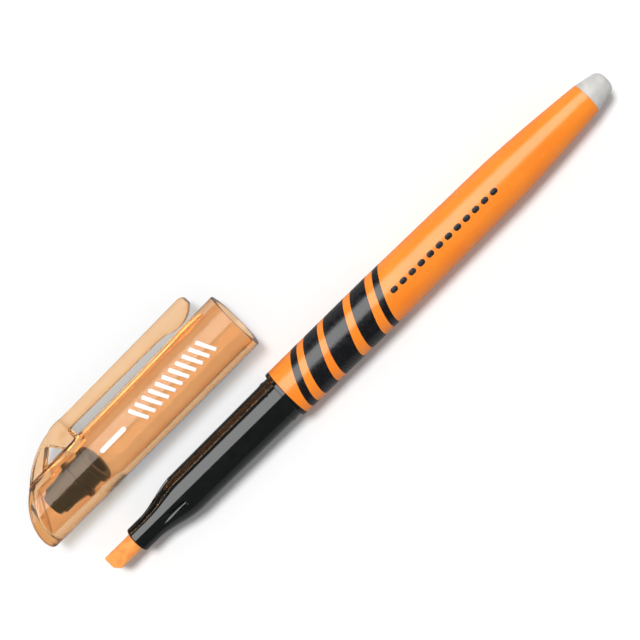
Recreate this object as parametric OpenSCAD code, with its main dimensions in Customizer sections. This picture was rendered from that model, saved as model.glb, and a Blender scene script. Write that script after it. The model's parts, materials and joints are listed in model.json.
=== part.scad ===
// Capped erasable-ink highlighter with a chisel nib, shown with its cap off and lying beside the pen.
// Millimetres. The pen lies along X with its nib towards -X, the cap lies beside it at +Y, and both
// rest on the plane Z = 0. The origin is the middle of the whole object's footprint on that plane.

/* [Pen] */
// Length of the pen without its cap, nib tip to eraser end
pen_length = 131.4; // [128:0.1:140]
// Diameter of the barrel's straight front stretch and of the collar
barrel_d = 10.6; // [10.2:0.1:11.2]
// Length of the barrel's straight stretch, where a holder grips it
barrel_straight = 25; // [15:0.5:30]
// Distance from the nib tip to where the barrel's rear taper starts to curve
taper_x = 101.6; // [96:0.1:105]
// Diameter of the barrel where its rear taper starts
barrel_mid_d = 9.8; // [9.4:0.1:10.2]
// Diameter of the barrel's rear end
barrel_rear_d = 6.55; // [6.2:0.05:7]
// Wall of the barrel at its front
barrel_wall = 1.2; // [1:0.05:1.3]
// Length of the eraser that stands out of the barrel
eraser_length = 5.1; // [4:0.1:6]

/* [Front section] */
// Distance from the nib tip to the front of the collar, which stops the cap
collar_x = 46.6; // [44:0.1:48]
// Thickness of the collar
collar_t = 0.9; // [0.6:0.1:1.5]
// Diameter of the grip in front of the collar
grip_rear_d = 9.24; // [9:0.02:9.6]
// Diameter of the grip at its shoulder
grip_front_d = 8.76; // [8.4:0.02:9]
// Diameter of the nose that the inner cap seals on
nose_d = 5.44; // [5:0.02:5.8]
// Length of the nose
nose_length = 3.4; // [2.5:0.1:4]
// Length of the curved flare between the nose and the shoulder
flare_length = 10; // [8:0.1:12]
// Number of channels moulded into the flare
channels = 4; // [2:1:6]
// Width of each channel
channel_w = 0.9; // [0.6:0.05:1.2]
// Turn of the first channel from straight up, about the pen's axis
channel_turn = 17; // [0:1:45]

/* [Nib] */
// Diameter of the fibre rod
nib_d = 3.8; // [3.4:0.1:4.2]
// Length of nib that stands out of the nose
nib_exposed = 6.8; // [5.5:0.1:7]
// How far the slanted lower corner of the chisel edge runs back
nib_slant = 1.5; // [0.8:0.1:2]
// Length of the two facets that thin the rod to its edge
nib_facet = 4.8; // [3.5:0.1:5.5]
// Thickness of the chisel edge
nib_edge = 1.1; // [0.8:0.1:1.6]

/* [Cap] */
// Length of the cap
cap_length = 55.7; // [55:0.1:57]
// Outer diameter of the cap at its mouth
cap_mouth_d = 12.6; // [12.3:0.1:12.8]
// Outer diameter of the cap at its closed end
cap_end_d = 12; // [11.8:0.1:12.3]
// Diameter of the straight bore inside the mouth
cap_bore_d = 9.9; // [9.8:0.05:10.1]
// Depth of the straight bore
cap_bore_depth = 35.5; // [34:0.1:36]
// Radius of the arch that the closed end and the clip root follow
arch_r = 18; // [17.8:0.1:18.4]
// Wall of the closed end
end_wall = 1.2; // [1:0.1:1.4]

/* [Clip] */
// Height of the clip's outer face above the cap's axis
clip_top = 10.45; // [10.3:0.05:10.6]
// Thickness of the clip arm
clip_t = 2.5; // [2.3:0.1:2.6]
// How much thicker the arm is just before its bead
clip_swell = 0.3; // [0:0.05:0.4]
// Width of the clip
clip_w = 5; // [4:0.1:6]
// Distance from the mouth to the clip's hinge line
clip_root = 37.3; // [36.5:0.1:38]
// Distance from the mouth to the clip's free end
clip_end = 3.9; // [3:0.1:6]
// Gap between the clip's bead and the cap
bead_gap = 0.3; // [0.2:0.05:0.5]

/* [Layout] */
// Distance between the pen's axis and the middle of the cap's mouth
cap_y = 16.7; // [16:0.1:25]
// Distance of the cap's mouth behind the nib tip
mouth_x = 50.1; // [46:0.1:60]
// Turn of the cap about the vertical, which brings its closed end nearer to the pen
cap_turn = 0.75; // [0:0.05:3]

/* [Hidden] */
$fn = 96;
e = 0.01;              // overlap that keeps cuts clean
fit = 0.03;            // radial clearance of pushed-in pieces
edge = 0.15;           // chamfer on moulded edges
curve_steps = 14;      // segments of a curved outline

barrel_r = barrel_d / 2;
barrel_x = collar_x + collar_t;
straight_x = barrel_x + barrel_straight;
taper_bend = [taper_x + 7.5, barrel_mid_d / 2 - 0.04];
rear_x = pen_length - eraser_length;
rear_r = barrel_rear_d / 2;
barrel_in_r = barrel_r - barrel_wall;
socket_r = barrel_in_r + 0.25;
socket_length = 8.6;
stem_bore_r = 2.2;
stem_length = 8;
stem_bore_x = rear_x - stem_length - 0.8;

nose_r = nose_d / 2;
nose_round = 0.45;
flare_x = nib_exposed + nose_length;
shoulder_x = flare_x + flare_length;
spigot_r = socket_r - fit;
spigot_x = barrel_x + socket_length - 0.3;
spigot_lead = 0.4;     // chamfer that leads the spigot into the barrel
grip_bore_x = shoulder_x + 2;
grip_bore_r = 3.5;
bead_h = 0.14;         // height of the bead that holds the cap on
channel_r = 2.6;       // radius of a channel's floor where it starts
channel_rise = 1.2;    // rise of a channel's floor from there to its step
nib_r = nib_d / 2;
nib_rear_x = 31.6;
nib_worn_r = 0.6;      // radius of the chisel edge's worn corners

film_r = grip_bore_r - 0.08;
film_t = 0.1;
core_r = film_r - film_t - 0.01;
core_x = 24.6;
core_rear_x = 104.6;

rib_w = 0.9;
rib_x = 60.6;          // front end of the ribs inside the barrel
rib_stop = 5;          // length of the ribs' stop behind the reservoir
rib_stop_r = 2.4;      // how near the stop comes to the axis

lay = atan((cap_mouth_d - cap_end_d) / 2 / (cap_length - 2));   // the cap lies on its tapered side
cap_r = cap_mouth_d / 2;
bore_r = cap_bore_d / 2;
arch_x = arch_r - cap_length + 0.1;
arch_y = clip_top - arch_r;
seat_x = -cap_bore_depth - 5;
seat_r = 4.3;
seat_length = 4;
web_y = 0.5;           // where the web that carries the clip starts, deep in the cap's side
window = [[-46.3, 5.6], [-42.9, 8.3], [-42.1, 8.3], [-40.1, 5.6]];

inner_x = -38.2;       // mouth of the inner cap
inner_r = 3.5;
flange_r = 4.15;
flange_t = 1.2;
ring_x = -42.2;        // ring that snaps the inner cap into its seat
ring_t = 0.7;
inner_nose = [[-44.6, 3.3], [-49.8, 2.4]];
inner_bore_x = -49;
inner_bore_r = 2.1;
fin_w = 0.7;
fin_length = 4.2;

hinge_r = clip_t / 2;
hinge_y = clip_top - hinge_r;
clip_round = 0.9;      // radius of the arm's free end
bead_x = -8.4;         // the lowest point of the bead under the arm

// the outermost point of the cap's closed end and of its clip, as seen from above
end_reach = cos(cap_turn) * (sqrt(pow(arch_r, 2) - pow(arch_y + cap_end_d / 2, 2)) - arch_x);
clip_reach = cos(cap_turn) * clip_top - sin(cap_turn) * (clip_end + clip_round);
mid_x = (mouth_x - end_reach + pen_length) / 2;
mid_y = (cap_y + clip_reach - barrel_r) / 2;

// outer radius of the cap at a distance behind its mouth, which is negative
function cap_outer(x) = cap_r + x * tan(lay);
// a smooth step from 0 to 1
function ease(t) = t * t * (3 - 2 * t);
// a quadratic curve from a to c that leaves and arrives along the lines through b
function curve(a, b, c) = [for (i = [0 : curve_steps]) let (t = i / curve_steps)
    a * pow(1 - t, 2) + b * 2 * t * (1 - t) + c * t * t];
// an arc of points about a centre
function arc(c, r, from, to, n = 8) = [for (i = [0 : n]) let (a = from + (to - from) * i / n)
    [c[0] + r * cos(a), c[1] + r * sin(a)]];

// a solid of revolution about X from [x, radius] points
module lathe(points) {
    rotate([0, 90, 0]) rotate_extrude() polygon([for (p = points) [p[1], p[0]]]);
}

// places a shape drawn with its axis on X and the nib tip at 0
module on_pen() {
    translate([-mid_x, -mid_y, barrel_r]) children();
}

// places a shape drawn with its axis on X and the cap's mouth at 0
module on_cap() {
    translate([mouth_x - mid_x, cap_y - mid_y, cap_r * cos(lay)]) rotate([0, -lay, cap_turn]) children();
}

// ---- pen ----

module barrel() {
    outer = concat([[barrel_x, barrel_r - edge], [barrel_x + edge, barrel_r], [straight_x, barrel_r]],
                   curve([taper_x, barrel_mid_d / 2], taper_bend, [rear_x, rear_r]));
    bore = [[rear_x, stem_bore_r], [stem_bore_x, stem_bore_r], [taper_x, barrel_in_r],
            [barrel_x + socket_length, barrel_in_r], [barrel_x + socket_length, socket_r],
            [barrel_x, socket_r]];
    color("orange") on_pen() {
        lathe(concat(outer, bore));
        for (a = [45 : 90 : 315]) rotate([a, 0, 0]) barrel_rib();
    }
}

// one of the ribs inside the barrel that centre the reservoir and stop its rear end
module barrel_rib() {
    low = film_r + 0.05;
    translate([rib_x, -rib_w / 2, low]) cube([taper_x - rib_x, rib_w, barrel_in_r + 0.2 - low]);
    translate([core_rear_x + 0.2, -rib_w / 2, rib_stop_r]) cube([rib_stop, rib_w, 1.3]);
    translate([taper_x - e, -rib_w / 2, low]) cube([rib_stop - 1, rib_w, 0.6]);
}

module front_section() {
    nose = concat([[nib_exposed, nib_r + fit]],
                  arc([nib_exposed + nose_round, nose_r - nose_round], nose_round, 180, 90));
    flare = [for (i = [0 : curve_steps]) let (t = i / curve_steps)
        [flare_x + t * flare_length, nose_r + (grip_front_d / 2 - nose_r) * ease(t)]];
    grip_r = grip_rear_d / 2;
    grip = [[collar_x - 2.4, grip_r], [collar_x - 2, grip_r + bead_h],
            [collar_x - 1.4, grip_r + bead_h], [collar_x - 1, grip_r], [collar_x, grip_r]];
    collar = [[collar_x, barrel_r - edge], [collar_x + edge, barrel_r],
              [barrel_x - 0.1, barrel_r], [barrel_x, barrel_r - 0.1]];
    spigot = [[barrel_x, spigot_r], [spigot_x - 0.6, spigot_r], [spigot_x, spigot_r - spigot_lead],
              [spigot_x, grip_bore_r], [grip_bore_x, grip_bore_r], [shoulder_x, nib_r + fit]];
    color("#181a1a") on_pen() difference() {
        lathe(concat(nose, flare, grip, collar, spigot));
        for (i = [0 : channels - 1]) rotate([channel_turn + i * 360 / channels, 0, 0]) channel();
    }
}

// the wedge cut from the flare: it starts on the surface and ends in a step at the shoulder
module channel() {
    from = flare_x + 0.4;
    to = shoulder_x - 0.8;
    translate([0, channel_w / 2, 0]) rotate([90, 0, 0]) linear_extrude(channel_w)
        polygon([[from, channel_r], [to, channel_r + channel_rise], [to, barrel_r], [from, barrel_r]]);
}

module nib() {
    reach = nib_r + 0.2;
    color("#ff9a2e") on_pen() intersection() {
        lathe([[0, 0], [0, nib_r], [nib_rear_x - 0.5, nib_r], [nib_rear_x, nib_r - 0.5],
               [nib_rear_x, 0]]);
        // the edge, seen from above: straight across, then slanted back, with its corners worn round
        translate([0, 0, -reach]) linear_extrude(2 * reach)
            polygon(concat([[nib_rear_x + 1, -reach], [nib_rear_x + 1, reach], [nib_worn_r, reach]],
                           arc([nib_worn_r, nib_r - nib_worn_r], nib_worn_r, 90, 180),
                           arc([nib_worn_r, nib_slant - nib_r], nib_worn_r, 180, 225),
                           arc([nib_slant, nib_worn_r - nib_r], nib_worn_r, 225, 270),
                           [[nib_slant, -reach]]));
        // the two facets, seen from the side
        translate([0, reach, 0]) rotate([90, 0, 0]) linear_extrude(2 * reach)
            polygon([[0, -nib_edge / 2], [nib_facet, -reach], [nib_rear_x + 1, -reach],
                     [nib_rear_x + 1, reach], [nib_facet, reach], [0, nib_edge / 2]]);
    }
}

module ink_reservoir() {
    socket = [[core_x, nib_r + fit], [nib_rear_x + 0.2, nib_r + fit], [nib_rear_x + 0.2, 0]];
    color("#f2a85c") on_pen()
        lathe(concat([[core_rear_x, 0], [core_rear_x, core_r], [core_x, core_r]], socket));
}

module reservoir_film() {
    color("white", 0.4) on_pen() lathe([[core_x, film_r - film_t], [core_x, film_r],
        [core_rear_x, film_r], [core_rear_x, film_r - film_t]]);
}

module eraser() {
    shoulder_r = 2.55;
    round_r = 1.75;
    plug_r = stem_bore_r - fit;
    end = arc([pen_length - round_r, shoulder_r - round_r], round_r, 78, 0, 10);
    stem_x = rear_x - stem_length;
    stem = [[stem_x, 0], [stem_x, plug_r - 0.3], [stem_x + 0.3, plug_r],
            [rear_x, plug_r], [rear_x, rear_r - 0.05]];
    color("#d6d9d0") on_pen() lathe(concat(stem, end, [[pen_length, 0]]));
}

// ---- cap ----

// the region inside the arch, seen from the side, grown or shrunk by a distance
module arch_region(grow = 0) {
    union() {
        translate([arch_x, arch_y]) circle(r = arch_r + grow);
        translate([arch_x, -20]) square([60, 20 + clip_top + grow]);
    }
}

module cap_shell() {
    body = [[-cap_length - 1, 0], [-cap_length - 1, cap_outer(-cap_length - 1)], [-edge, cap_outer(-edge)],
            [0, cap_r - edge], [0, 0]];
    color("orange", 0.55) on_cap() difference() {
        union() {
            intersection() {
                lathe(body);
                translate([0, 0, -10]) linear_extrude(20) arch_region();
            }
            clip_root();
        }
        cap_cavity();
    }
}

// everything hollowed out of the cap: the mouth's bore, the seat of the inner cap and the closed end
module cap_cavity() {
    seat_end = seat_x - seat_length;
    lathe([[1, 0], [1, bore_r + 0.3], [0, bore_r + 0.3], [-0.3, bore_r],
           [-cap_bore_depth, bore_r], [seat_x, seat_r], [seat_end, seat_r], [seat_end, 0]]);
    intersection() {
        lathe([[seat_end + e, 0], [seat_end + e, seat_r], [-cap_length, seat_r - 0.3], [-cap_length, 0]]);
        translate([0, 0, -10]) linear_extrude(20) arch_region(-end_wall);
    }
}

// the web between the cap and the arch that carries the clip, with its window and the hinge seat
module clip_root() {
    translate([0, 0, -clip_w / 2]) linear_extrude(clip_w) difference() {
        intersection() {
            arch_region();
            translate([-cap_length, web_y]) square([cap_length - clip_root, 20]);
        }
        polygon(window);
        translate([-clip_root, hinge_y]) circle(r = hinge_r + 0.05);
    }
}

module inner_cap() {
    mouth_r = nose_r + fit;
    ring_r = seat_r - fit;
    outer = concat([[inner_x, mouth_r], [inner_x, flange_r], [inner_x - flange_t, flange_r],
                    [inner_x - flange_t, inner_r], [ring_x + 0.2, inner_r], [ring_x, ring_r],
                    [ring_x - ring_t, ring_r], [ring_x - ring_t - 0.2, inner_r]],
                   inner_nose, [[inner_nose[1][0], 0]]);
    bore = [[inner_bore_x, 0], [inner_bore_x, inner_bore_r], [inner_x - 3.5, inner_bore_r],
            [inner_x - 2.9, mouth_r]];
    color("#34371f") on_cap() {
        lathe(concat(outer, bore));
        for (a = [30 : 60 : 330]) rotate([a, 0, 0])
            translate([inner_nose[0][0] - fin_length + e, -fin_w / 2, 2.3]) cube([fin_length, fin_w, 0.9]);
    }
}

// the arm of the clip, from its hinge knuckle to the beaded free end
module clip() {
    under = clip_top - clip_t - clip_swell;
    bead_y = cap_outer(bead_x) + bead_gap;
    flank = [bead_x - 2.6, (under + bead_y) / 2 + 0.1];
    arm = concat([[-clip_root, clip_top - clip_t]],
                 curve([bead_x - 8.6, under], [bead_x - 4.2, under - 0.05], flank),
                 curve(flank, [bead_x - 1.4, bead_y], [bead_x, bead_y]),
                 curve([bead_x, bead_y], [bead_x + 2.4, bead_y], [-clip_end - 0.3, under + 0.6]),
                 arc([-clip_end - clip_round, clip_top - clip_round], clip_round, 0, 85),
                 [[-clip_root, clip_top]]);
    color("orange", 0.55) on_cap() translate([0, 0, -clip_w / 2]) linear_extrude(clip_w) {
        translate([-clip_root, hinge_y]) circle(r = hinge_r);
        polygon(arm);
    }
}

barrel();
front_section();
nib();
ink_reservoir();
reservoir_film();
eraser();
cap_shell();
inner_cap();
clip();
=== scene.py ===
"""Looks of a capped highlighter: the pen lies on a pale floor with its clear cap off beside it.

Every shape is drawn in millimetres in one of two local frames, and placed in metres by the CAD frame:
the pen's frame has its axis on X with the nib tip at 0, the cap's has its axis on X with the mouth at 0
and the closed end towards -X, and its clip towards +Y.
"""
import json
import math

import bpy
import numpy as np
from mathutils import Matrix, Vector


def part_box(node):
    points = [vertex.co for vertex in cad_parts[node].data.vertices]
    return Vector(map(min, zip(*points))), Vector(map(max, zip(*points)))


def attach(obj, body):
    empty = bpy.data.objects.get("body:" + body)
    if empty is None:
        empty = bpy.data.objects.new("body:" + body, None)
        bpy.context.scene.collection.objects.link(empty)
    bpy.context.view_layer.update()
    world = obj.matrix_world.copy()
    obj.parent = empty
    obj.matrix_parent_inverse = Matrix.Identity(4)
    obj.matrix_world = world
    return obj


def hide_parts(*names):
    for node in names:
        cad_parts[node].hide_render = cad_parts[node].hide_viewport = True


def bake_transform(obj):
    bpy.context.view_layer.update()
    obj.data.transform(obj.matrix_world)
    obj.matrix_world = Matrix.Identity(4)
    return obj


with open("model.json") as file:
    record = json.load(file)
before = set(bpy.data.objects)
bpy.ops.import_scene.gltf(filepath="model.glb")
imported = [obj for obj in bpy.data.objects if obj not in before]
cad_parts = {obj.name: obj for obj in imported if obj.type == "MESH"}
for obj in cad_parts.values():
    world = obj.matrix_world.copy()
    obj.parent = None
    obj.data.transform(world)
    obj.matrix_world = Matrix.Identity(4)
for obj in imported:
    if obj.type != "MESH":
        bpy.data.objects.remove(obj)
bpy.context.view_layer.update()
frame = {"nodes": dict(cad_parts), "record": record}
RECORD = frame["record"]
MOUNTS = {m["name"]: m for m in RECORD["mounts"]}
MM = 0.001

# ---- dimensions of the pieces, in mm, as the CAD has them ----

BARREL_R = 5.3
BARREL_X, STRAIGHT_X, TAPER_X, REAR_X, PEN_LENGTH = 47.5, 72.5, 101.6, 126.3, 131.4
BARREL_MID_R, BARREL_REAR_R, STEM_R = 4.9, 3.275, 2.2
TAPER_BEND = (TAPER_X + 7.5, 4.86)
BARREL_BORE_R, SOCKET_R, SOCKET_DEPTH, STEM_DEPTH = 4.1, 4.35, 8.6, 8.8
RIB_X, RIB_END_X, RIB_W, RIB_R, RIB_RISE = 60.6, TAPER_X + 4, 0.9, 3.47, 0.3
COLLAR_X = 46.6
NOSE_X, FLARE_X, SHOULDER_X = 6.8, 10.2, 20.2
NOSE_R, GRIP_FRONT_R, GRIP_REAR_R = 2.72, 4.38, 4.62
CHANNEL_X, CHANNEL_END_X, CHANNEL_W, CHANNEL_TURN = 10.6, 19.4, 0.9, 17
CHANNEL_R, CHANNEL_RISE, CHANNEL_FADE = 2.6, 1.2, 0.2
GRIP_BEAD, GRIP_BEAD_REACH = 0.14, 0.7
SPIGOT_R, SPIGOT_TIP_R, SPIGOT_BORE_R, SPIGOT_LENGTH, GRIP_BORE_X = 4.32, 3.92, 3.5, 8.3, 22.2
NIB_R, NIB_REAR_X, NIB_SLANT, NIB_FACET, NIB_EDGE = 1.9, 31.6, 1.5, 4.8, 1.1
NIB_WORN_R = 0.6
CAP_R, CAP_LENGTH, CAP_TAPER = 6.3, 55.7, 0.3 / 53.7
BORE_R, BORE_DEPTH, SEAT_R = 4.95, 35.5, 4.3
ARCH_X, ARCH_Y, ARCH_R, END_WALL = -37.6, -7.55, 18.0, 1.2
CLIP_TOP, CLIP_T, CLIP_W, CLIP_END, CLIP_SWELL = 10.45, 2.5, 5.0, 3.9, 0.3
BEAD_X, BEAD_GAP = -8.4, 0.3
HINGE_X, CLIP_ROOT_X, CLIP_NARROWS, CLIP_RUN = -37.3, -39.5, 0.35, 33
BEND_LENGTH = 6         # a length from the hinge along the clip; add_cap works out the bend's two ends from it, but nothing bends the clip
WINDOW_REAR_X, WINDOW_FRONT_X, WINDOW_Y = -46.3, -40.1, 5.6
WINDOW_REAR_SLOPE, WINDOW_FRONT_SLOPE = 1.259, 0.741    # how far each side leans in as it rises
ROOT_X, ROOT_FILLET = -36.2, 0.4
INNER_X, INNER_R, FLANGE_R, RING_X = -38.2, 3.5, 4.15, -42.2
INNER_END_X, INNER_END_R, INNER_NECK_R = -49.8, 2.4, 3.25
INNER_BORE_R, INNER_FLOOR_X = 2.1, -49
FIN_X, FIN_REACH, FIN_ROOT_R, FIN_R, FIN_T = -46.3, 2.2, 2.3, 3.15, 0.64
INK_LIFT = 0.012        # how far a printed mark stands off the plastic


# ---- frames ----

class Frame:
    """Turns local millimetres into the row frame's metres."""

    def __init__(self, origin, along):
        x = Vector(along).normalized()
        y = Vector((0, 0, 1)).cross(x).normalized()
        z = x.cross(y)
        self.turn = np.array([x, y, z])
        self.origin = np.array(origin)

    def __call__(self, points):
        return self.origin + np.asarray(points, float) @ self.turn * MM


def pen_frame():
    low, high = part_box("front_section")
    return Frame((low.x - NOSE_X * MM, (low.y + high.y) / 2, (low.z + high.z) / 2), (1, 0, 0))


def cap_frame():
    bore = MOUNTS["cap_mouth"]
    axis = Vector(bore["axis"]).normalized()
    to_mouth = (bore["dims"]["length_mm"] / 2 + 0.3) * MM
    return Frame(Vector(bore["pos_m"]) + axis * to_mouth, axis)


PEN = pen_frame()
CAP = cap_frame()


# ---- mesh helpers ----

def add_mesh(name, points, faces, place, material, normals=None, sharp=32):
    """A mesh object from local points. Normals, where given, are the true ones at each point."""
    mesh = bpy.data.meshes.new(name)
    mesh.from_pydata([tuple(p) for p in place(points)], [], [tuple(f) for f in faces])
    mesh.validate()
    mesh.shade_smooth()
    if normals is None:
        mesh.set_sharp_from_angle(angle=math.radians(sharp))
    else:
        mesh.normals_split_custom_set_from_vertices([tuple(n) for n in normals @ place.turn])
    mesh.materials.append(material)
    piece = bpy.data.objects.new(name, mesh)
    bpy.context.scene.collection.objects.link(piece)
    return piece


def arc(cx, cr, r, start, end, steps=8):
    """Points of a round edge about (cx, cr), from one angle to another in degrees."""
    angles = np.radians(np.linspace(start, end, steps + 1))
    return [(cx + r * math.cos(a), cr + r * math.sin(a)) for a in angles]


def curve(a, b, c, steps=40):
    """A quadratic curve from a to c that leaves and arrives along the lines through b."""
    a, b, c = (np.array(p, float) for p in (a, b, c))
    return [tuple(a * (1 - t) ** 2 + b * 2 * t * (1 - t) + c * t * t)
            for t in np.linspace(0, 1, steps + 1)]


def ease(t):
    t = np.clip(t, 0, 1)
    return t * t * (3 - 2 * t)


def revolve(profile, turns, closed=True, carve=None):
    """Points and faces of a profile [(x, r), ...] turned about X. carve(x, r, turn) may change r."""
    points, rings = [], []
    for x, r in profile:
        if r < 1e-6:
            rings.append([len(points)])
            points.append((x, 0.0, 0.0))
            continue
        radii = np.full(len(turns), r) if carve is None else carve(x, r, turns)
        rings.append(list(range(len(points), len(points) + len(turns))))
        points += [(x, q * math.sin(a), q * math.cos(a)) for q, a in zip(radii, turns)]
    faces = []
    pairs = list(zip(rings, rings[1:] + rings[:1] if closed else rings[1:]))
    for one, two in pairs:
        n = max(len(one), len(two))
        if n == 1:
            continue
        for i in range(n):
            j = (i + 1) % n
            corners = [one[i % len(one)], one[j % len(one)], two[j % len(two)], two[i % len(two)]]
            faces.append(list(dict.fromkeys(corners)))
    return np.array(points), faces


def even_turns(n):
    return np.arange(n) * 2 * math.pi / n


def box_part(low, high):
    """Points and faces of a block."""
    corners = np.array([(x, y, z) for x in (low[0], high[0]) for y in (low[1], high[1])
                        for z in (low[2], high[2])], float)
    return corners, [(0, 1, 3, 2), (4, 6, 7, 5), (0, 4, 5, 1), (2, 3, 7, 6), (0, 2, 6, 4), (1, 5, 7, 3)]


def joined(parts):
    """One list of points and faces from several."""
    points, faces, start = [], [], 0
    for some, theirs in parts:
        points.append(np.asarray(some, float))
        faces += [[start + i for i in f] for f in theirs]
        start += len(some)
    return np.concatenate(points), faces


def turned(points, angle):
    """Points turned about X by an angle in radians."""
    c, s = math.cos(angle), math.sin(angle)
    return np.asarray(points, float) @ np.array([[1, 0, 0], [0, c, s], [0, -s, c]])


# ---- shapes as distance fields: negative inside, zero on the surface ----

def round_max(a, b, r):
    """Where both solids are, with the edge between them rounded."""
    return np.minimum(np.maximum(a, b), -r) + np.hypot(np.maximum(a + r, 0), np.maximum(b + r, 0))


def round_min(a, b, r):
    """Where either solid is, with a fillet between them."""
    return np.maximum(np.minimum(a, b), r) - np.hypot(np.maximum(r - a, 0), np.maximum(r - b, 0))


def skin(field, low, high, cell):
    """The surface of a field in a box: points on it, quads, and its normals."""
    axes = [np.arange(a, b + cell, cell) for a, b in zip(low, high)]
    grid = np.stack(np.meshgrid(*axes, indexing="ij"), -1)
    value = field(grid.reshape(-1, 3)).reshape(grid.shape[:3])
    inside = value < 0
    total = np.zeros(np.array(value.shape) - 1 + [0] * 3, float)
    place = np.zeros(total.shape + (3,))
    for axis in range(3):
        ahead = [slice(None)] * 3
        back = [slice(None)] * 3
        ahead[axis], back[axis] = slice(1, None), slice(None, -1)
        v0, v1 = value[tuple(back)], value[tuple(ahead)]
        crosses = inside[tuple(back)] != inside[tuple(ahead)]
        t = np.where(crosses, v0 / np.where(crosses, v0 - v1, 1), 0)
        step = np.zeros(3)
        step[axis] = cell
        at = (grid[tuple(back)] + t[..., None] * step) * crosses[..., None]
        others = [i for i in range(3) if i != axis]
        for da in (0, 1):
            for db in (0, 1):
                cut = [slice(None)] * 3
                for o, d in zip(others, (da, db)):
                    cut[o] = slice(d, d - 1 if d == 0 else None)
                total += crosses[tuple(cut)]
                place += at[tuple(cut)]
    used = total > 0
    number = np.full(total.shape, -1)
    number[used] = np.arange(used.sum())
    points = place[used] / total[used][:, None]
    faces = []
    for axis in range(3):
        ahead = [slice(1, -1)] * 3
        back = [slice(1, -1)] * 3
        ahead[axis], back[axis] = slice(1, None), slice(None, -1)
        a, b = inside[tuple(back)], inside[tuple(ahead)]
        u, v = [(axis + 1) % 3, (axis + 2) % 3]
        corner = []
        for du, dv in ((1, 1), (0, 1), (0, 0), (1, 0)):
            cut = [slice(None)] * 3
            cut[u] = slice(du, number.shape[u] - 1 + du)
            cut[v] = slice(dv, number.shape[v] - 1 + dv)
            corner.append(number[tuple(cut)])
        quad = np.stack(corner, -1)
        faces += [quad[a & ~b], quad[~a & b][:, ::-1]]
    for _ in range(4):
        d, g = field(points), slope(field, points)
        step = d / np.maximum((g ** 2).sum(1), 0.2)
        points = points - g * np.clip(step, -cell / 2, cell / 2)[:, None]
    g = slope(field, points)
    normals = g / np.maximum(np.linalg.norm(g, axis=1), 1e-9)[:, None]
    return points, np.concatenate(faces), normals


def slope(field, points, h=0.01):
    """The field's gradient at points."""
    steps = np.eye(3) * h
    return np.stack([(field(points + s) - field(points - s)) / (2 * h) for s in steps], 1)


# ---- materials ----

class Nodes:
    """A material's node tree, with short calls to add and link nodes."""

    def __init__(self, name):
        self.material = bpy.data.materials.new(name)
        self.material.use_nodes = True
        self.tree = self.material.node_tree
        self.shader = self.tree.nodes["Principled BSDF"]
        self.output = self.tree.nodes["Material Output"]

    def add(self, kind, **values):
        node = self.tree.nodes.new(kind)
        for key, value in values.items():
            if hasattr(node, key):
                setattr(node, key, value)
            else:
                node.inputs[key.replace("_", " ")].default_value = value
        return node

    def link(self, source, target):
        self.tree.links.new(source, target)

    def set(self, **values):
        for key, value in values.items():
            self.shader.inputs[key.replace("_", " ")].default_value = value

    def coords(self, scale=(1, 1, 1)):
        """Object coordinates in millimetres, stretched."""
        place = self.add("ShaderNodeTexCoord")
        mapping = self.add("ShaderNodeMapping")
        mapping.inputs["Scale"].default_value = [s / MM for s in scale]
        self.link(place.outputs["Object"], mapping.inputs["Vector"])
        return mapping.outputs["Vector"]

    def noise(self, vector, scale, detail=4.0, roughness=0.55):
        node = self.add("ShaderNodeTexNoise")
        node.inputs["Scale"].default_value = scale
        node.inputs["Detail"].default_value = detail
        node.inputs["Roughness"].default_value = roughness
        self.link(vector, node.inputs["Vector"])
        return node.outputs["Fac"]

    def spread(self, fac, low, high, start=0.3, end=0.7):
        """A value between low and high, as fac goes from start to end."""
        node = self.add("ShaderNodeMapRange")
        for key, value in zip(("From Min", "From Max", "To Min", "To Max"), (start, end, low, high)):
            node.inputs[key].default_value = value
        self.link(fac, node.inputs["Value"])
        return node.outputs["Result"]

    def mix(self, fac, a, b):
        node = self.add("ShaderNodeMix", data_type="RGBA")
        self.link(fac, node.inputs["Factor"])
        for value, socket in ((a, node.inputs[6]), (b, node.inputs[7])):
            if isinstance(value, tuple):
                socket.default_value = value
            else:
                self.link(value, socket)
        return node.outputs[2]

    def bump(self, height, distance, strength=1.0):
        node = self.add("ShaderNodeBump")
        node.inputs["Distance"].default_value = distance * MM
        node.inputs["Strength"].default_value = strength
        self.link(height, node.inputs["Height"])
        self.link(node.outputs["Normal"], self.shader.inputs["Normal"])


def fine_wear(nodes, low, high, along=0.35):
    """Roughness that wanders, with faint scuffs drawn out along the pen."""
    scuffs = nodes.noise(nodes.coords((along, 3.0, 3.0)), 2.2, 6.0, 0.7)
    cloud = nodes.noise(nodes.coords(), 0.35, 3.0)
    both = nodes.add("ShaderNodeMath", operation="MULTIPLY_ADD")
    both.inputs[1].default_value = 0.5
    nodes.link(scuffs, both.inputs[0])
    half = nodes.add("ShaderNodeMath", operation="MULTIPLY")
    half.inputs[1].default_value = 0.5
    nodes.link(cloud, half.inputs[0])
    nodes.link(half.outputs[0], both.inputs[2])
    nodes.link(nodes.spread(both.outputs[0], low, high), nodes.shader.inputs["Roughness"])
    return both.outputs[0]


def barrel_plastic():
    """Opaque orange moulded plastic with a soft gloss."""
    n = Nodes("barrel_plastic")
    cloud = n.noise(n.coords((0.5, 1, 1)), 0.22, 3.0)
    n.link(n.mix(n.spread(cloud, 0, 1), (1.0, 0.245, 0.018, 1), (1.0, 0.285, 0.026, 1)),
           n.shader.inputs["Base Color"])
    wear = fine_wear(n, 0.2, 0.3)
    n.bump(wear, 0.004)
    n.set(IOR=1.49, Subsurface_Weight=0.12, Subsurface_Scale=0.6 * MM)
    n.shader.inputs["Subsurface Radius"].default_value = (1.0, 0.35, 0.1)
    return n.material


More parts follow.
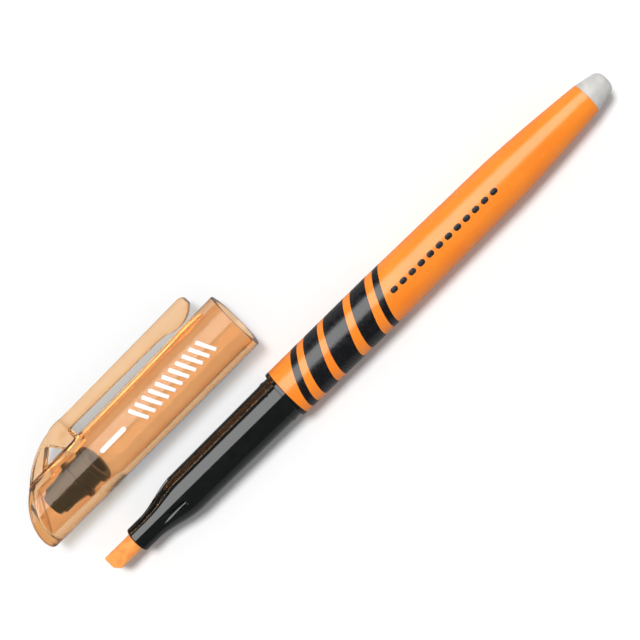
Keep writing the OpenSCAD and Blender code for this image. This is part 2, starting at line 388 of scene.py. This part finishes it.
def grip_plastic():
    """Polished black plastic with faint handling marks."""
    n = Nodes("grip_plastic")
    cloud = n.noise(n.coords(), 0.5, 4.0)
    n.link(n.mix(n.spread(cloud, 0, 1), (0.0045, 0.0055, 0.0055, 1), (0.008, 0.009, 0.009, 1)),
           n.shader.inputs["Base Color"])
    wear = fine_wear(n, 0.05, 0.12)
    n.bump(wear, 0.002)
    n.set(IOR=1.5)
    return n.material


def nib_fibre():
    """Bonded fibre wetted with ink: fine streaks along the rod, darker where the ink has gathered."""
    n = Nodes("nib_fibre")
    fibres = n.noise(n.coords((0.5, 9.0, 9.0)), 1.6, 5.0, 0.65)
    patches = n.noise(n.coords(), 0.9, 3.0)
    pale = n.mix(n.spread(fibres, 0, 1), (1.0, 0.3, 0.035, 1), (1.0, 0.42, 0.075, 1))
    n.link(n.mix(n.spread(patches, 0, 0.75, 0.45, 0.75), pale, (1.0, 0.2, 0.02, 1)),
           n.shader.inputs["Base Color"])
    n.link(n.spread(fibres, 0.6, 0.9), n.shader.inputs["Roughness"])
    n.bump(fibres, 0.05, 0.9)
    n.set(Subsurface_Weight=0.35, Subsurface_Scale=0.5 * MM, Sheen_Weight=0.25, Sheen_Roughness=0.5)
    n.shader.inputs["Subsurface Radius"].default_value = (1.0, 0.4, 0.1)
    return n.material


def reservoir_fibre():
    """The ink-soaked fibre bundle."""
    n = Nodes("reservoir_fibre")
    fibres = n.noise(n.coords((0.15, 7.0, 7.0)), 1.4, 5.0, 0.7)
    n.link(n.mix(n.spread(fibres, 0, 1), (0.95, 0.33, 0.05, 1), (1.0, 0.55, 0.2, 1)),
           n.shader.inputs["Base Color"])
    n.link(n.spread(fibres, 0.75, 0.95), n.shader.inputs["Roughness"])
    n.bump(fibres, 0.06)
    return n.material


def film():
    """The thin clear film round the bundle, with fine creases."""
    n = Nodes("film")
    creases = n.noise(n.coords((0.3, 2.0, 2.0)), 1.2, 5.0, 0.6)
    n.link(n.mix(n.spread(creases, 0, 1), (0.9, 0.92, 0.93, 1), (1, 1, 1, 1)),
           n.shader.inputs["Base Color"])
    n.link(n.spread(creases, 0.08, 0.2), n.shader.inputs["Roughness"])
    n.bump(creases, 0.02)
    n.set(Alpha=0.35, IOR=1.45)
    return n.material


def eraser_rubber():
    """Frosted, slightly see-through grey elastomer, its grey and roughness a little uneven."""
    n = Nodes("eraser_rubber")
    cloud = n.noise(n.coords(), 0.55, 4.0)
    grain = n.noise(n.coords(), 7.0, 4.0, 0.6)
    n.link(n.mix(n.spread(cloud, 0, 1), (0.5, 0.495, 0.48, 1), (0.62, 0.61, 0.59, 1)),
           n.shader.inputs["Base Color"])
    n.link(n.spread(grain, 0.42, 0.6), n.shader.inputs["Roughness"])
    n.bump(grain, 0.012)
    n.set(Subsurface_Weight=0.6, Subsurface_Scale=1.2 * MM, IOR=1.45)
    n.shader.inputs["Subsurface Radius"].default_value = (1.0, 0.95, 0.85)
    return n.material


def inner_cap_plastic():
    """Dark olive moulded plastic."""
    n = Nodes("inner_cap_plastic")
    cloud = n.noise(n.coords(), 0.6, 4.0)
    grain = n.noise(n.coords(), 9.0, 3.0)
    n.link(n.mix(n.spread(cloud, 0, 1), (0.008, 0.013, 0.005, 1), (0.016, 0.022, 0.009, 1)),
           n.shader.inputs["Base Color"])
    n.link(n.spread(grain, 0.24, 0.36), n.shader.inputs["Roughness"])
    n.shader.inputs["Specular IOR Level"].default_value = 0.12
    n.bump(grain, 0.006)
    return n.material


def cap_plastic():
    """Clear plastic tinted orange, deeper where it is thick. At its edges the deeper orange is painted
    shade, set by the facing angle in place of light's longer path through the wall. It lets lamps
    through.
    """
    n = Nodes("cap_plastic")
    haze = fine_wear(n, 0.06, 0.16)
    cloud = n.noise(n.coords(), 0.18, 3.0)
    tint = n.mix(n.spread(cloud, 0, 1), (0.98, 0.67, 0.43, 1), (1.0, 0.73, 0.49, 1))
    # Painted shade: the colour turns deeper orange where the surface is seen edge-on.
    facing = n.add("ShaderNodeLayerWeight", Blend=0.5)
    edge = n.spread(facing.outputs["Facing"], 0, 1, 0.35, 0.85)
    n.link(n.mix(edge, tint, (0.88, 0.36, 0.1, 1)), n.shader.inputs["Base Color"])
    n.bump(haze, 0.003)
    n.set(IOR=1.5, Transmission_Weight=0.985)
    n.shader.inputs["Specular Tint"].default_value = (0.5, 0.5, 0.5, 1)
    clear = n.add("ShaderNodeBsdfTransparent")
    clear.inputs["Color"].default_value = (0.735, 0.765, 0.82, 1)
    depth = n.add("ShaderNodeVolumeAbsorption", Density=80.0)
    depth.inputs["Color"].default_value = (0.965, 0.6, 0.0, 1)
    n.link(depth.outputs[0], n.output.inputs["Volume"])
    path = n.add("ShaderNodeLightPath")
    lamp = n.add("ShaderNodeMath", operation="MAXIMUM")
    n.link(path.outputs["Is Shadow Ray"], lamp.inputs[0])
    n.link(path.outputs["Is Diffuse Ray"], lamp.inputs[1])
    mix = n.add("ShaderNodeMixShader")
    n.link(lamp.outputs[0], mix.inputs["Fac"])
    n.link(n.shader.outputs[0], mix.inputs[1])
    n.link(clear.outputs[0], mix.inputs[2])
    n.link(mix.outputs[0], n.output.inputs["Surface"])
    return n.material


def ink(name, low, high, roughness):
    """Printed ink, a little uneven."""
    n = Nodes(name)
    cloud = n.noise(n.coords(), 1.3, 5.0)
    n.link(n.mix(n.spread(cloud, 0, 1), low, high), n.shader.inputs["Base Color"])
    n.link(n.spread(cloud, roughness, roughness + 0.12), n.shader.inputs["Roughness"])
    n.bump(cloud, 0.002)
    return n.material


# ---- pieces of the pen ----

def add_barrel(material):
    edge, rim = 0.15, 0.1
    outer = (arc(BARREL_X + edge, BARREL_R - edge, edge, 180, 90)
             + [(x, BARREL_R) for x in np.linspace(BARREL_X + 1, STRAIGHT_X, 13)]
             + curve((TAPER_X, BARREL_MID_R), TAPER_BEND, (REAR_X - rim, BARREL_REAR_R + 0.005))
             + arc(REAR_X - rim, BARREL_REAR_R - rim, rim, 80, 0, 4))
    socket_x = BARREL_X + SOCKET_DEPTH
    bore = [(REAR_X, STEM_R), (REAR_X - STEM_DEPTH, STEM_R), (TAPER_X, BARREL_BORE_R),
            (socket_x, BARREL_BORE_R), (socket_x, SOCKET_R), (BARREL_X, SOCKET_R)]
    parts = [revolve(outer + bore, even_turns(192))]
    for i in range(4):
        points, faces = box_part((RIB_X, -RIB_W / 2, RIB_R), (RIB_END_X, RIB_W / 2, 4.3))
        points[4:, 2] -= [0, RIB_RISE, 0, RIB_RISE]     # the wall closes in at the rear
        parts.append((turned(points, math.radians(45 + 90 * i)), faces))
    barrel = add_mesh("barrel_tube", *joined(parts), PEN, material)
    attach(barrel, "pen")
    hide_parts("barrel")


def grip_outline():
    """The front section's profile, from the nose over the collar to the spigot and back inside."""
    nose_edge, collar_edge, collar_rim, lead_in = 0.45, 0.2, 0.12, 0.6
    nose = arc(NOSE_X + nose_edge, NOSE_R - nose_edge, nose_edge, 180, 90, 10)
    t = np.linspace(0, 1, 61)
    flare = list(zip(FLARE_X + t * (SHOULDER_X - FLARE_X),
                     NOSE_R + (GRIP_FRONT_R - NOSE_R) * ease(t)))
    bead_x = COLLAR_X - 1.7
    grip = [(x, GRIP_FRONT_R + (GRIP_REAR_R - GRIP_FRONT_R) * (x - SHOULDER_X) / (bead_x - SHOULDER_X))
            for x in np.linspace(SHOULDER_X + 0.8, bead_x - 0.9, 12)]
    bead = [(x, GRIP_REAR_R + GRIP_BEAD * ease(1 - abs(x - bead_x) / GRIP_BEAD_REACH))
            for x in np.linspace(bead_x - GRIP_BEAD_REACH, bead_x + GRIP_BEAD_REACH, 13)]
    collar = ([(COLLAR_X, GRIP_REAR_R)]
              + arc(COLLAR_X + collar_edge, BARREL_R - collar_edge, collar_edge, 180, 90, 6)
              + arc(BARREL_X - collar_rim, BARREL_R - collar_rim, collar_rim, 90, 0, 4))
    end_x = BARREL_X + SPIGOT_LENGTH
    spigot = [(BARREL_X, SPIGOT_R), (end_x - lead_in, SPIGOT_R), (end_x, SPIGOT_TIP_R),
              (end_x, SPIGOT_BORE_R), (GRIP_BORE_X, SPIGOT_BORE_R), (SHOULDER_X, NIB_R),
              (NOSE_X, NIB_R)]
    return nose + flare + grip + bead + collar + spigot


def channel_cut(x, r, turns):
    """The four channels in the flare, as a smaller radius where they run, with rounded edges."""
    end_x = CHANNEL_END_X + CHANNEL_FADE
    if not CHANNEL_X <= x <= end_x or r < NOSE_R - 0.001:
        return np.full(len(turns), r)
    share = (x - CHANNEL_X) / (CHANNEL_END_X - CHANNEL_X)
    floor = CHANNEL_R + CHANNEL_RISE * share
    radii = np.full(len(turns), r)
    for i in range(4):
        centre = math.radians(-CHANNEL_TURN + 90 * i)
        off = np.angle(np.exp(1j * (turns - centre)))
        side = np.abs(r * np.sin(off))
        near = np.abs(off) < 0.6
        across = np.clip(1 - (side / (CHANNEL_W / 2 + 0.1)) ** 2, 0, 1) ** 0.7
        wall = across * ease((end_x - x) / CHANNEL_FADE)
        depth = np.maximum(r - floor / np.cos(np.where(near, off, 0)), 0)
        radii -= np.where(near, depth * wall, 0)
    return radii


def channel_turns():
    """Turns about the axis, close together at the channels' walls."""
    coarse = list(even_turns(180))
    for i in range(4):
        centre = math.radians(-CHANNEL_TURN + 90 * i)
        coarse += list(centre + np.radians(np.linspace(-14, 14, 113)))
    return np.unique(np.round(np.mod(coarse, 2 * math.pi), 5))


def add_front_section(material):
    section = add_mesh("front_grip", *revolve(grip_outline(), channel_turns(), carve=channel_cut), PEN,
                       material, sharp=40)
    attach(section, "pen")
    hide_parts("front_section")


def nib_field(p):
    """A fibre rod cut to a slanted chisel edge by two facets and a slanted end."""
    x, y, z = p.T
    rod = round_max(np.hypot(y, z) - NIB_R, x - NIB_REAR_X, 0.4)
    rise = (NIB_R + 0.2 - NIB_EDGE / 2) / NIB_FACET
    facet = (np.abs(z) - NIB_EDGE / 2 - rise * x) / math.hypot(1, rise)
    slanted = (NIB_SLANT - NIB_R - y - x) / math.sqrt(2) - 0.25 * NIB_WORN_R
    end = round_max(round_max(-x, np.abs(y) - NIB_R, 0.35), slanted, 0.35)
    return round_max(round_max(rod, facet, 0.12), end, 0.1)


def add_nib(material):
    low, high, cell = (-0.3, -2.2, -2.2), (NIB_REAR_X + 0.3, 2.2, 2.2), 0.13
    points, faces, normals = skin(nib_field, low, high, cell)
    nib = add_mesh("chisel_nib", points, faces, PEN, material, normals)
    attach(nib, "pen")
    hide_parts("nib")


def add_eraser(material):
    front, lead_in, stem_r = REAR_X - 8.0, 0.3, STEM_R - 0.03
    rim, rim_r, tip = 0.1, BARREL_REAR_R - 0.15, 1.75
    outline = ([(front, 0.0), (front, stem_r - lead_in), (front + lead_in, stem_r),
                (REAR_X, stem_r), (REAR_X, rim_r)]
               + arc(REAR_X + rim, rim_r, rim, 180, 80, 4)
               + arc(PEN_LENGTH - tip, 0.8, tip, 78, 0, 28)[:-1]
               + [(PEN_LENGTH, 0.4), (PEN_LENGTH, 0.0)])
    eraser = add_mesh("eraser_tip", *revolve(outline, even_turns(128), closed=False), PEN, material)
    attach(eraser, "pen")
    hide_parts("eraser")


# ---- pieces of the cap ----

def cap_outer(x):
    return CAP_R + x * CAP_TAPER


def arch_field(x, y, inward=0.0):
    """The arch that the closed end and the clip's root follow, seen from the side."""
    round_part = np.hypot(x - ARCH_X, y - ARCH_Y) - ARCH_R
    return np.where(x < ARCH_X, round_part, y - CLIP_TOP) + inward


def window_field(x, y):
    """The window under the arch: a triangle with rounded corners."""
    rise = y - WINDOW_Y
    low = 0.05 - rise
    rear = (WINDOW_REAR_X - x + rise * WINDOW_REAR_SLOPE) / math.hypot(1, WINDOW_REAR_SLOPE)
    front = (x - WINDOW_FRONT_X + rise * WINDOW_FRONT_SLOPE) / math.hypot(1, WINDOW_FRONT_SLOPE)
    return round_max(round_max(low, rear, 0.3), front, 0.4)


def clip_underside():
    """The arm's underside seen from the side: nearly straight, then the bead, then the free end."""
    low = CLIP_TOP - CLIP_T - CLIP_SWELL
    bead = (BEAD_X, cap_outer(BEAD_X) + BEAD_GAP)
    flank = (BEAD_X - 2.6, (low + bead[1]) / 2 + 0.1)
    return ([(HINGE_X - 3, CLIP_TOP - CLIP_T)]
            + curve((BEAD_X - 8.6, low), (BEAD_X - 4.2, low - 0.05), flank, 12)
            + curve(flank, (BEAD_X - 1.4, bead[1]), bead, 12)[1:]
            + curve(bead, (BEAD_X + 2.4, bead[1]), (-CLIP_END - 0.3, low + 0.6), 12)[1:])


def clip_field(x, y, z):
    """The clip's arm with its bead, from inside the web to the free end."""
    line = np.array(clip_underside())
    rise = np.interp(x, line[:, 0], np.gradient(line[:, 1], line[:, 0]))
    under = (np.interp(x, line[:, 0], line[:, 1]) - y) / np.hypot(1, rise)
    top = y - CLIP_TOP
    side = round_max(round_max(top, x + CLIP_END, 0.85), under, 0.3)
    side = np.maximum(side, CLIP_ROOT_X - x)
    half = CLIP_W / 2 - CLIP_NARROWS * np.clip((x - HINGE_X) / CLIP_RUN, 0, 1)
    return round_max(side, np.abs(z) - half, 0.45)


def shell_field(p):
    """The clear cap with its clip, in one moulding."""
    x, y, z = p.T
    across = np.hypot(y, z)
    arch = arch_field(x, y)
    body = round_max(across - cap_outer(x), arch, 0.7)
    body = round_max(body, x, 0.22)
    web = np.maximum(np.maximum(arch, 0.5 - y), x - HINGE_X)
    web = round_max(web, np.abs(z) - CLIP_W / 2, 0.45)
    web = round_max(web, -window_field(x, y), 0.15)
    carried = round_min(web, clip_field(x, y, z), 0.45)
    fillet = 0.02 + ROOT_FILLET * np.clip((ROOT_X - x) / 0.8, 0, 1)
    outer = round_min(body, carried, fillet)
    return round_max(outer, -cavity_field(x, y, across), 0.2)


def cavity_field(x, y, across):
    """The hollow of the cap: a straight bore, the inner cap's seat, and an end that follows the arch."""
    radius = np.interp(x, [-CAP_LENGTH, -BORE_DEPTH - 9, -BORE_DEPTH - 5, -BORE_DEPTH],
                       [SEAT_R - 0.3, SEAT_R, SEAT_R, BORE_R])
    return round_max(across - radius, arch_field(x, y, END_WALL), 0.9)


def add_cap(material):
    """The shell and the clip's arm come from one skin, cut where the arm starts to bend."""
    low, high, cell = (-57.4, -6.8, -6.8), (0.5, 11.1, 6.8), 0.28
    points, faces, normals = skin(shell_field, low, high, cell)
    centre = points[faces].mean(1)
    arm = (centre[:, 0] > HINGE_X + 0.2) & (centre[:, 1] > cap_outer(centre[:, 0]) + 0.15)
    pieces = []
    for name, keep in (("cap_tube", ~arm), ("clip_arm", arm)):
        used, index = np.unique(faces[keep], return_inverse=True)
        pieces.append(add_mesh(name, points[used], index.reshape(-1, 4), CAP, material, normals[used]))
    tube, clip = pieces
    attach(tube, "cap")
    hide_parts("cap_shell")
    start, end = CAP([(HINGE_X + 0.3, 0, 0), (HINGE_X + BEND_LENGTH, 0, 0)])
    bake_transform(clip)
    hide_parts("clip")


def inner_cap_field(p):
    """The dark seal: a flange, a retaining ring, a nose with fins, and a bore for the pen's nose."""
    x, y, z = p.T
    across = np.hypot(y, z)
    radius = np.interp(x, [INNER_END_X, -44.6, -43.4, INNER_X - 1.3, INNER_X - 1.1],
                       [INNER_END_R, INNER_NECK_R, INNER_R, INNER_R, FLANGE_R])
    middle, half = (INNER_X + INNER_END_X) / 2, (INNER_X - INNER_END_X) / 2
    solid = round_max(across - radius, np.abs(x - middle) - half, 0.2)
    ring = round_max(across - (SEAT_R - 0.03), np.abs(x - RING_X + 0.35) - 0.45, 0.2)
    solid = round_min(solid, ring, 0.2)
    turn = np.arctan2(z, y)
    away = across * np.abs(np.sin(3 * (turn - math.pi / 6))) / 3
    fin = round_max(np.maximum(across - FIN_R, FIN_ROOT_R - across), away - FIN_T / 2, 0.12)
    fin = round_max(fin, np.abs(x - FIN_X) - FIN_REACH, 0.1)
    solid = round_min(solid, fin, 0.12)
    hollow = np.interp(x, [INNER_X - 3.5, INNER_X - 2.9], [INNER_BORE_R, NOSE_R + 0.03])
    bore = np.maximum(across - hollow, INNER_FLOOR_X - x)
    return round_max(solid, -bore, 0.12)


def add_inner_cap(material):
    low, high, cell = (-50.2, -4.6, -4.6), (-37.3, 4.6, 4.6), 0.14
    points, faces, normals = skin(inner_cap_field, low, high, cell)
    seal = add_mesh("inner_cap_seal", points, faces, CAP, material, normals)
    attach(seal, "cap")
    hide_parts("inner_cap")


# ---- printed marks: plain rings, dashes and bars, with no lettering ----

def barrel_radius(x):
    xs, rs = zip(*([(BARREL_X, BARREL_R), (STRAIGHT_X, BARREL_R)]
                   + curve((TAPER_X, BARREL_MID_R), TAPER_BEND, (REAR_X, BARREL_REAR_R))))
    return np.interp(x, xs, rs)


def strip(path, width, radius, along=120, across=28):
    """A mark wrapped on a round body. path(t) gives (x, turn in degrees) and width(t) its width in mm."""
    t = np.linspace(0, 1, along + 1)
    x, turn = (np.asarray(v, float) for v in path(t))
    arc_mm = np.radians(turn) * radius(x)
    dx, ds = np.gradient(x), np.gradient(arc_mm)
    length = np.hypot(dx, ds)
    nx, ns = -ds / length, dx / length
    v = np.linspace(-0.5, 0.5, across + 1)
    wide = width(t)[:, None] * v[None, :]
    xx = x[:, None] + nx[:, None] * wide
    ss = arc_mm[:, None] + ns[:, None] * wide
    rr = radius(xx)
    tt = ss / rr
    points = np.stack([xx, (rr + INK_LIFT) * np.sin(tt), (rr + INK_LIFT) * np.cos(tt)], -1)
    n = across + 1
    faces = [(i * n + j, i * n + j + 1, (i + 1) * n + j + 1, (i + 1) * n + j)
             for i in range(along) for j in range(across)]
    return points.reshape(-1, 3), faces


def ring(x, lean, turn):
    """A ring round the body about x, leaning furthest towards the nib at a turn in degrees."""
    def path(t):
        angle = 360 * t
        return x - lean * np.cos(np.radians(angle - turn)), angle
    return path


def bar(x, turn, lean, reach, wide):
    """A slanted bar with square ends across the body, reaching so far in degrees either way of turn."""
    def path(t):
        u = 2 * t - 1
        return x + lean * u, turn + reach * u
    return path, lambda t: np.full_like(t, wide)


def dash(x, turn, length, wide):
    """A short bar with round ends along the body."""
    def path(t):
        return x + length * (t - 0.5), np.full_like(t, turn)

    def width(t):
        end = np.abs(t - 0.5) * length - (length - wide) / 2
        return wide * np.sqrt(np.clip(1 - (np.maximum(end, 0) / (wide / 2)) ** 2, 0.0004, 1))
    return path, width


def add_barrel_print(material):
    rings = ((52.4, 1.5), (56.8, 3.4), (62.8, 4.8), (69.2, 3.6), (73.8, 1.4))   # place and width
    marks = []
    for x, wide in rings:
        path = ring(x, lean=2.6, turn=-60)
        marks.append(strip(path, lambda t, w=wide: np.full_like(t, w), barrel_radius, 192, 24))
    start, pitch = 75.6, 2.35
    for i in range(12):
        mark = dash(start + pitch * i, turn=-2, length=1.6, wide=1.1)
        marks.append(strip(*mark, barrel_radius, 24, 8))
    add_print("barrel_print", marks, PEN, "pen", material)


def add_cap_print(material):
    marks = [strip(*dash(-31.6, turn=3, length=6.6, wide=0.9), cap_outer, 48, 10)]
    start, pitch = -24.8, 1.8
    for i in range(11):
        mark = bar(start + pitch * i, turn=3, lean=-0.9, reach=17, wide=0.75)
        marks.append(strip(*mark, cap_outer, 24, 8))
    add_print("cap_print", marks, CAP, "cap", material)


def add_print(name, marks, place, body, material):
    piece = add_mesh(name, *joined(marks), place, material)
    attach(piece, body)


# ---- stage ----

def add_floor():
    """A pale floor. Gloss shows it as a painted darker reflection, and seen through the cap it has a
    painted glow of its own, so it shows without the cap's shadow.
    """
    # The level of the painted darker reflection, and the share of painted glow seen through the cap.
    mirrored, painted_glow_share = 0.3, 0.7
    n = Nodes("floor")
    cloud = n.noise(n.coords(), 0.004, 2.0)
    n.link(n.mix(n.spread(cloud, 0, 1), (0.86, 0.86, 0.86, 1), (0.88, 0.88, 0.88, 1)),
           n.shader.inputs["Base Color"])
    n.set(Roughness=0.9)
    n.shader.inputs["Specular IOR Level"].default_value = 0.1
    # Painted reflection: glossy rays see a darker floor than the lamps would give.
    painted_dark_reflection = n.add("ShaderNodeBsdfDiffuse")
    painted_dark_reflection.inputs["Color"].default_value = (mirrored, mirrored, mirrored, 1)
    path = n.add("ShaderNodeLightPath")
    mix = n.add("ShaderNodeMixShader")
    n.link(path.outputs["Is Glossy Ray"], mix.inputs["Fac"])
    n.link(n.shader.outputs[0], mix.inputs[1])
    n.link(painted_dark_reflection.outputs[0], mix.inputs[2])
    # Painted light: the floor glows where it is seen through the cap, though it is no lamp.
    painted_glow = n.add("ShaderNodeEmission")
    painted_glow.inputs["Color"].default_value = (1.0, 1.0, 1.0, 1)
    through = n.add("ShaderNodeMixShader")
    share = n.add("ShaderNodeMath", operation="MULTIPLY")
    share.inputs[1].default_value = painted_glow_share
    n.link(path.outputs["Is Transmission Ray"], share.inputs[0])
    n.link(share.outputs[0], through.inputs["Fac"])
    n.link(mix.outputs[0], through.inputs[1])
    n.link(painted_glow.outputs[0], through.inputs[2])
    n.link(through.outputs[0], n.output.inputs["Surface"])
    mesh = bpy.data.meshes.new("floor")
    half = 4.0
    mesh.from_pydata([(-half, -half, 0), (half, -half, 0), (half, half, 0), (-half, half, 0)], [],
                     [(0, 1, 2, 3)])
    mesh.materials.append(n.material)
    floor = bpy.data.objects.new("floor", mesh)
    bpy.context.scene.collection.objects.link(floor)


def add_area(name, place, target, size, radiance):
    """A rectangular soft box of an even brightness, facing a target. It lights only what mirrors it."""
    light = bpy.data.lights.new(name, "AREA")
    light.shape = "RECTANGLE"
    light.size, light.size_y = size
    light.energy = radiance * math.pi * size[0] * size[1]
    lamp = bpy.data.objects.new(name, light)
    lamp.location = place
    lamp.rotation_mode = "QUATERNION"
    lamp.rotation_quaternion = (Vector(target) - Vector(place)).to_track_quat("-Z", "Y")
    lamp.visible_camera = False
    lamp.visible_diffuse = False
    bpy.context.scene.collection.objects.link(lamp)


def add_key(lean, softness, strength):
    """The main light, from over the cap's side, which gives the short soft shadow."""
    key = bpy.data.lights.new("key", "SUN")
    key.energy, key.angle = strength, math.radians(softness)
    lamp = bpy.data.objects.new("key", key)
    lamp.rotation_euler = (math.radians(-lean), 0, 0)
    lamp.visible_glossy = False
    lamp.visible_transmission = False
    bpy.context.scene.collection.objects.link(lamp)


def add_world(fill, mirrored, through, backdrop):
    """An even surround: its fill, what gloss mirrors, what shows through plastic, the backdrop."""
    world = bpy.data.worlds.new("world")
    bpy.context.scene.world = world
    world.use_nodes = True
    tree = world.node_tree
    path = tree.nodes.new("ShaderNodeLightPath")
    shader = tree.nodes["Background"]
    shader.inputs["Color"].default_value = (fill, fill, fill, 1)
    last = shader.outputs[0]
    for ray, level in (("Is Glossy Ray", mirrored), ("Is Transmission Ray", through),
                       ("Is Camera Ray", backdrop)):
        other = tree.nodes.new("ShaderNodeBackground")
        other.inputs["Color"].default_value = (level, level, level, 1)
        mix = tree.nodes.new("ShaderNodeMixShader")
        tree.links.new(path.outputs[ray], mix.inputs["Fac"])
        tree.links.new(last, mix.inputs[1])
        tree.links.new(other.outputs[0], mix.inputs[2])
        last = mix.outputs[0]
    tree.links.new(last, tree.nodes["World Output"].inputs["Surface"])


def add_lights():
    """A large soft box that shows as the long highlight, a key light and an even surround."""
    lean = math.radians(30)
    distance = 0.8
    place = (0, distance * math.sin(lean), distance * math.cos(lean))
    add_area("soft_box", place, target=(0, 0, 0), size=(2.2, 0.8), radiance=5.2)
    add_key(lean=18, softness=16, strength=2.7)
    add_world(fill=0.38, mirrored=0.1, through=0.9, backdrop=0.95)


def add_camera():
    """Nearly overhead, turned so that the pen runs from lower left to upper right."""
    turn = math.radians(44.6)                   # the pen's slope in the view
    centre = Vector((-0.00155, -0.00545, 0.0053))  # the point at the view's middle
    height, lead = 0.340, 0.019                  # above that point, and towards the eraser
    width = 0.12126                              # seen across the view there
    camera = bpy.data.cameras.new("camera")
    camera.sensor_width = 36
    place = centre + Vector((lead, 0, height))
    back = (place - centre).normalized()
    up = Vector((math.sin(turn), math.cos(turn), 0))
    right = up.cross(back).normalized()
    up = back.cross(right)
    camera.lens = camera.sensor_width * (place - centre).length / width
    camera.clip_start, camera.clip_end = 0.01, 20
    seen = bpy.data.objects.new("camera", camera)
    seen.matrix_world = Matrix((
        (right.x, up.x, back.x, place.x), (right.y, up.y, back.y, place.y),
        (right.z, up.z, back.z, place.z), (0, 0, 0, 1)))
    bpy.context.scene.collection.objects.link(seen)
    bpy.context.scene.camera = seen


def dress_hidden_nodes():
    """The reservoir keeps its CAD shapes and gets real finishes."""
    for node, material in (("ink_reservoir", reservoir_fibre()), ("reservoir_film", film())):
        mesh = frame["nodes"][node].data
        mesh.materials.clear()
        mesh.materials.append(material)


def build():
    clear = cap_plastic()
    add_barrel(barrel_plastic())
    add_front_section(grip_plastic())
    add_nib(nib_fibre())
    add_eraser(eraser_rubber())
    add_cap(clear)
    add_inner_cap(inner_cap_plastic())
    add_barrel_print(ink("black_ink", (0.004, 0.0045, 0.006, 1), (0.009, 0.009, 0.011, 1), 0.2))
    add_cap_print(ink("white_ink", (0.86, 0.86, 0.86, 1), (0.93, 0.93, 0.93, 1), 0.35))
    dress_hidden_nodes()
    add_floor()
    add_lights()
    add_camera()
    bpy.context.scene.view_settings.view_transform = "Standard"


build()
